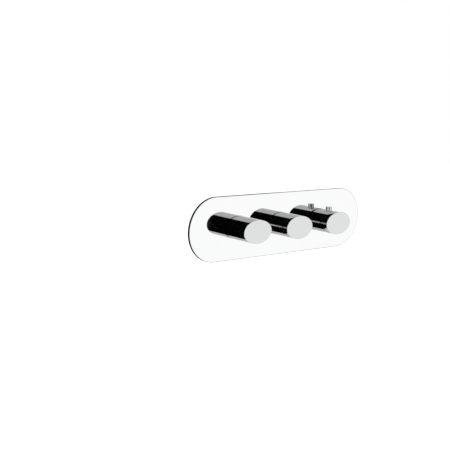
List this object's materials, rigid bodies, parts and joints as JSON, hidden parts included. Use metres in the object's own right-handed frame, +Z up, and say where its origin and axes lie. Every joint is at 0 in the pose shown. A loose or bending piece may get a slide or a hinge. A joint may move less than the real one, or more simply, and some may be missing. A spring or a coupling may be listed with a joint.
{
  "type": "thermostatic shower valve",
  "caption": "Concealed thermostatic shower valve: rounded trim plate with flat-ended oval knobs for flow and temperature, over a brass body with cartridge, headworks and check valves.",
  "frame": {"origin": "centre of the trim plate in the plane of the finished wall", "axes": "+X along the plate towards the temperature knob, +Y into the wall, +Z up"},
  "size_m": [0.41, 0.1326, 0.11],
  "materials": {
    "polished_chrome": "mirror-polished chrome plating",
    "cast_brass": "bead-blasted casting with machined faces",
    "turned_brass": "turned brass",
    "steel": "zinc-plated steel",
    "spring_steel": "bright spring steel",
    "rubber": "black EPDM",
    "black_plastic": "moulded acetal",
    "ceramic": "lapped alumina",
    "copper": "drawn copper"
  },
  "bodies": {
    "valve": {"trim_plate": "polished_chrome", "plate_gasket": "rubber", "valve_body": "cast_brass", "gallery_plug": "cast_brass", "mounting_rail": "steel", "mounting_screws": "steel", "plate_rings": "rubber", "scale_ring": "polished_chrome", "stop_ring": "black_plastic", "cartridge_housing": "turned_brass", "cartridge_nut": "turned_brass", "cartridge_rings": "rubber", "cartridge_base": "black_plastic", "return_spring": "spring_steel", "connector_rings": "rubber", "thermo_guide_sleeve": "polished_chrome", "left_fixed_disc": "ceramic", "left_headwork_housing": "turned_brass", "left_guide_sleeve": "polished_chrome", "left_seat_seal": "rubber", "centre_fixed_disc": "ceramic", "centre_headwork_housing": "turned_brass", "centre_guide_sleeve": "polished_chrome", "centre_seat_seal": "rubber", "hot_inlet_connector": "turned_brass", "hot_check_housing": "black_plastic", "hot_strainer": "steel", "hot_check_spring": "spring_steel", "cold_inlet_connector": "turned_brass", "cold_check_housing": "black_plastic", "cold_strainer": "steel", "cold_check_spring": "spring_steel"},
    "temperature": {"thermo_knob": "polished_chrome", "thermo_adapter": "turned_brass", "thermo_grub_screw": "steel", "temperature_spindle": "turned_brass", "temperature_spindle_clip": "spring_steel", "temperature_spindle_ring": "rubber", "button_spring": "spring_steel"},
    "button": {"safety_button": "polished_chrome"},
    "regulator": {"regulating_nut": "turned_brass", "overload_spring": "spring_steel", "wax_element": "copper", "mixing_spool": "turned_brass"},
    "hot_check": {"hot_poppet": "black_plastic"},
    "cold_check": {"cold_poppet": "black_plastic"},
    "left_flow": {"left_knob": "polished_chrome", "left_adapter": "turned_brass", "left_grub_screw": "steel", "left_spindle": "turned_brass", "left_spindle_clip": "spring_steel", "left_spindle_ring": "rubber", "left_moving_disc": "ceramic"},
    "centre_flow": {"centre_knob": "polished_chrome", "centre_adapter": "turned_brass", "centre_grub_screw": "steel", "centre_spindle": "turned_brass", "centre_spindle_clip": "spring_steel", "centre_spindle_ring": "rubber", "centre_moving_disc": "ceramic"}
  },
  "joints": [
    {"name": "left_flow_turn", "type": "hinge", "parent": "valve", "child": "left_flow", "pos_m": [-0.098, 0, 0], "axis": [0, -1, 0], "range_deg": [0, 90]},
    {"name": "centre_flow_turn", "type": "hinge", "parent": "valve", "child": "centre_flow", "pos_m": [0, 0, 0], "axis": [0, -1, 0], "range_deg": [0, 90]},
    {"name": "temperature_turn", "type": "hinge", "parent": "valve", "child": "temperature", "pos_m": [0.098, 0, 0], "axis": [0, -1, 0], "range_deg": [-130, 70]},
    {"name": "button_press", "type": "slide", "parent": "temperature", "child": "button", "axis": [0, 0, -1], "range_m": [0, 0.002], "stiffness_N_per_m": 500, "springref_m": -0.002, "deforming": ["button_spring"]},
    {"name": "regulator_slide", "type": "slide", "parent": "valve", "child": "regulator", "axis": [0, 1, 0], "range_m": [-0.00131, 0.00071], "deforming": ["return_spring"]},
    {"name": "hot_check_slide", "type": "slide", "parent": "valve", "child": "hot_check", "axis": [0, 0, 1], "range_m": [0, 0.0025], "stiffness_N_per_m": 60, "springref_m": -0.0015, "deforming": ["hot_check_spring"]},
    {"name": "cold_check_slide", "type": "slide", "parent": "valve", "child": "cold_check", "axis": [0, 0, 1], "range_m": [0, 0.0025], "stiffness_N_per_m": 60, "springref_m": -0.0015, "deforming": ["cold_check_spring"]}
  ],
  "couplings": [
    {"joint": "regulator_slide", "follows": "temperature_turn", "m_per_rad": 0.00057296}
  ]
}
